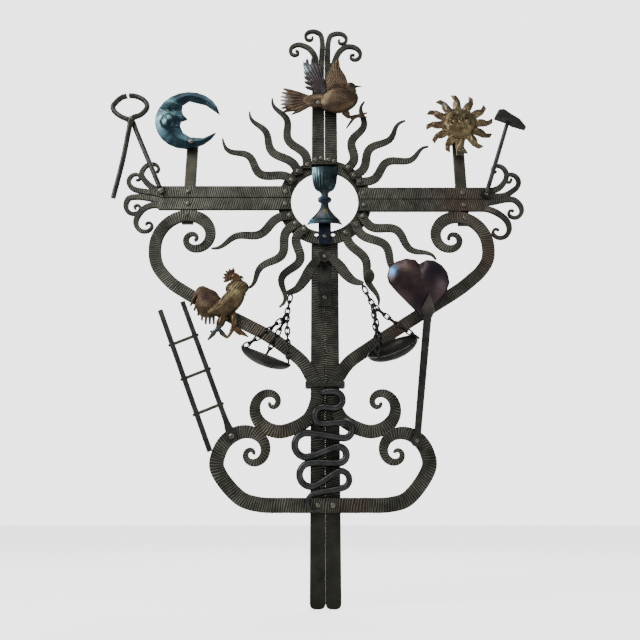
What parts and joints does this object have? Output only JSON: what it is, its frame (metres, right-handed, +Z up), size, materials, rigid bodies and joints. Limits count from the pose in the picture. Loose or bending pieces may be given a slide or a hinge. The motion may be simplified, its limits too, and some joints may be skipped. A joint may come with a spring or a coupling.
{
  "type": "wrought iron cross",
  "caption": "Wrought iron grave cross of paired hammered bars with a ring and wavy rays, scrolls, a wound serpent and riveted Passion signs.",
  "frame": {"origin": "on the ground line at the foot of the post, midway between its two bars and midway through their thickness", "axes": "+Z up the post, +X to the right of a viewer facing the front, -Y towards that viewer"},
  "size_m": [1.0002, 0.1437, 1.3621],
  "materials": {
    "hammered_iron": "hammered wrought iron, waxed, dark grey olive",
    "plain_iron": "smooth forged iron, dark grey black",
    "blued_steel": "heat-blued sheet steel, teal to navy",
    "bronzed_steel": "heat-bronzed sheet steel",
    "purple_steel": "polished sheet steel tinted purple brown",
    "dove_steel": "chased sheet steel tinted brown",
    "dove_blue_steel": "chased sheet steel tinted violet",
    "rooster_steel": "chased sheet steel tinted brown and gold"
  },
  "bodies": {
    "root": {"lower_post_bar_left": "hammered_iron", "upper_post_bar_left": "hammered_iron", "lower_post_bar_right": "hammered_iron", "upper_post_bar_right": "hammered_iron", "left_arm_upper_bar": "hammered_iron", "left_arm_lower_bar": "hammered_iron", "right_arm_upper_bar": "hammered_iron", "right_arm_lower_bar": "hammered_iron", "ring": "hammered_iron", "ray_upper_left_1": "hammered_iron", "ray_upper_left_2": "hammered_iron", "ray_upper_left_3": "hammered_iron", "ray_lower_left_3": "hammered_iron", "ray_lower_left_2": "hammered_iron", "ray_lower_left_1": "hammered_iron", "ray_lower_right_1": "hammered_iron", "ray_lower_right_2": "hammered_iron", "ray_lower_right_3": "hammered_iron", "ray_upper_right_3": "hammered_iron", "ray_upper_right_2": "hammered_iron", "ray_upper_right_1": "hammered_iron", "moon_strap": "hammered_iron", "sun_strap": "hammered_iron", "left_scroll": "hammered_iron", "right_scroll": "hammered_iron", "collar": "plain_iron", "base_scroll": "hammered_iron", "serpent": "plain_iron", "moon": "blued_steel", "sun": "bronzed_steel", "hammer_handle": "plain_iron", "hammer_head": "plain_iron", "pincers_left_handle": "plain_iron", "pincers_right_handle": "plain_iron", "ladder_right_rail": "plain_iron", "ladder_left_rail": "plain_iron", "ladder_rung_1": "plain_iron", "ladder_rung_2": "plain_iron", "ladder_rung_3": "plain_iron", "heart": "purple_steel", "lance": "plain_iron", "balance_bracket": "plain_iron", "balance_beam": "hammered_iron", "left_pan": "plain_iron", "left_chain": "plain_iron", "right_pan": "plain_iron", "right_chain": "plain_iron", "chalice": "blued_steel", "chalice_strap": "blued_steel", "dove_body": "dove_steel", "dove_near_wing": "dove_steel", "dove_far_wing": "dove_blue_steel", "rooster": "rooster_steel"}
  },
  "joints": []
}
